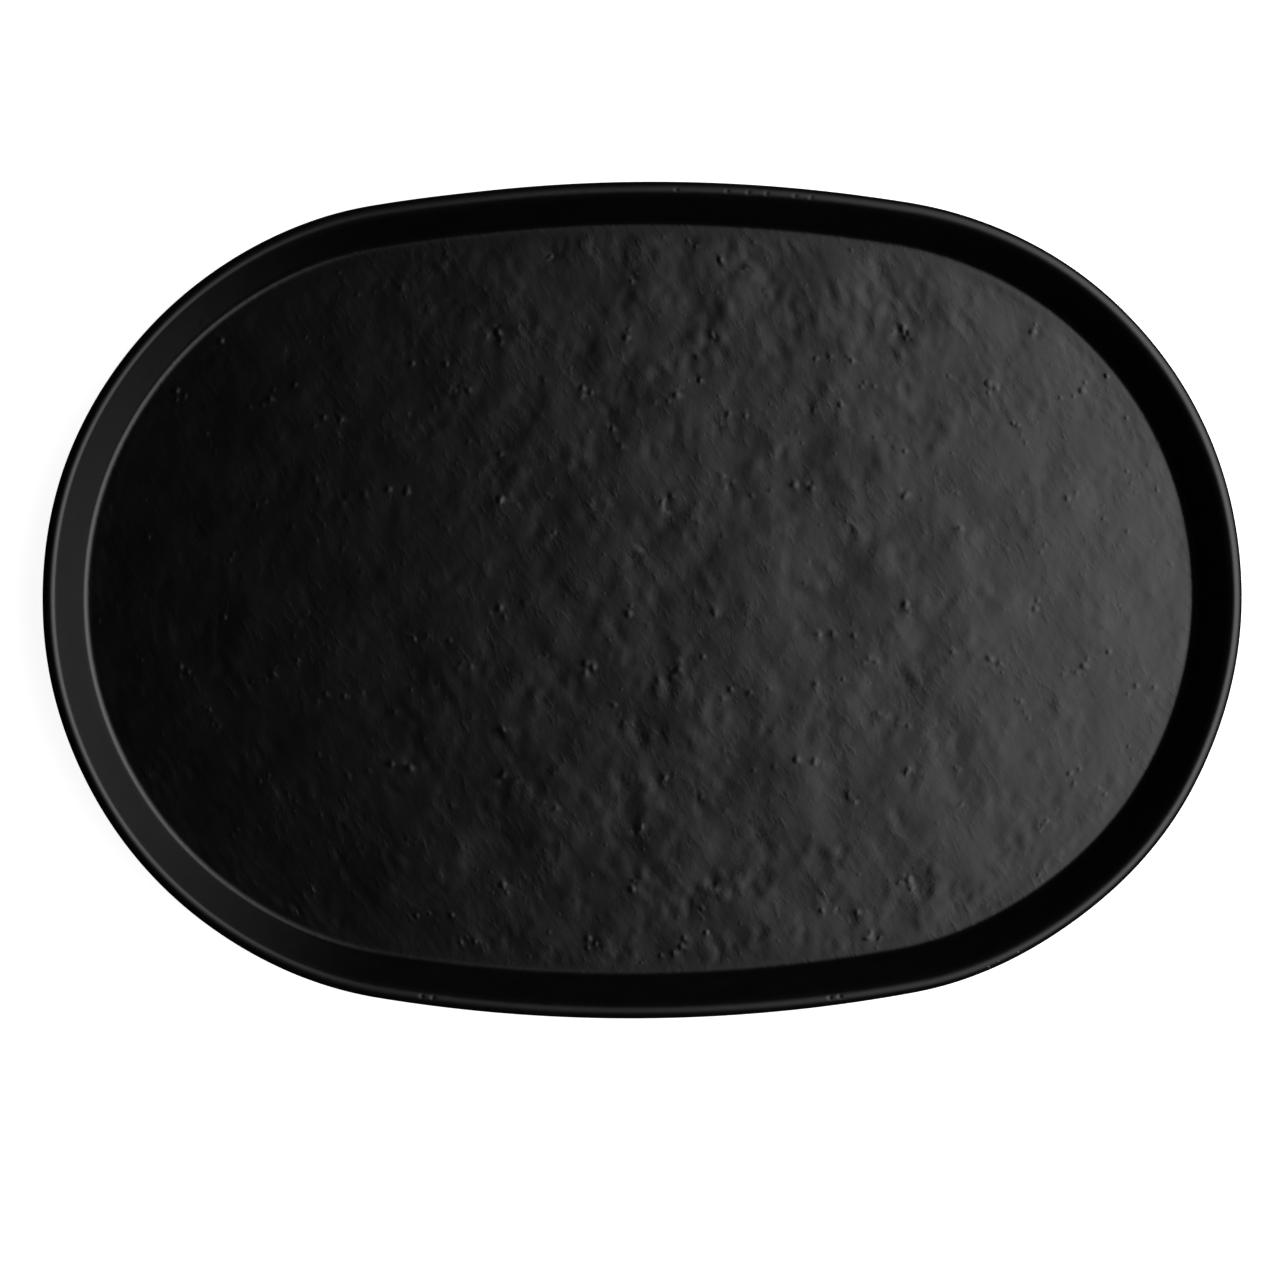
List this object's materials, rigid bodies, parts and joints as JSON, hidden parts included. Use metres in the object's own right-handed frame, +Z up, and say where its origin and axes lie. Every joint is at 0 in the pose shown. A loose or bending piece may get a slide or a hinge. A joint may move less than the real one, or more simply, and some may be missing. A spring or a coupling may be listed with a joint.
{
  "type": "serving tray",
  "caption": "Oval metal serving tray with a rolled, wired rim, a sloping wall and a softly uneven floor, in satin black.",
  "frame": {"origin": "middle of the tray, on the surface that its pads stand on", "axes": "+X along the tray, +Z up out of the tray, -Y is the front"},
  "size_m": [0.43, 0.3, 0.025],
  "materials": {
    "black_coat": "satin black baked coat over sheet steel, fine grain",
    "wire_steel": "bare drawn wire",
    "felt": "pressed wool felt"
  },
  "bodies": {
    "root": {"tray_pan": "black_coat", "rim_wire": "wire_steel", "pad_back_right": "felt", "pad_back_left": "felt", "pad_front_left": "felt", "pad_front_right": "felt"}
  },
  "joints": []
}
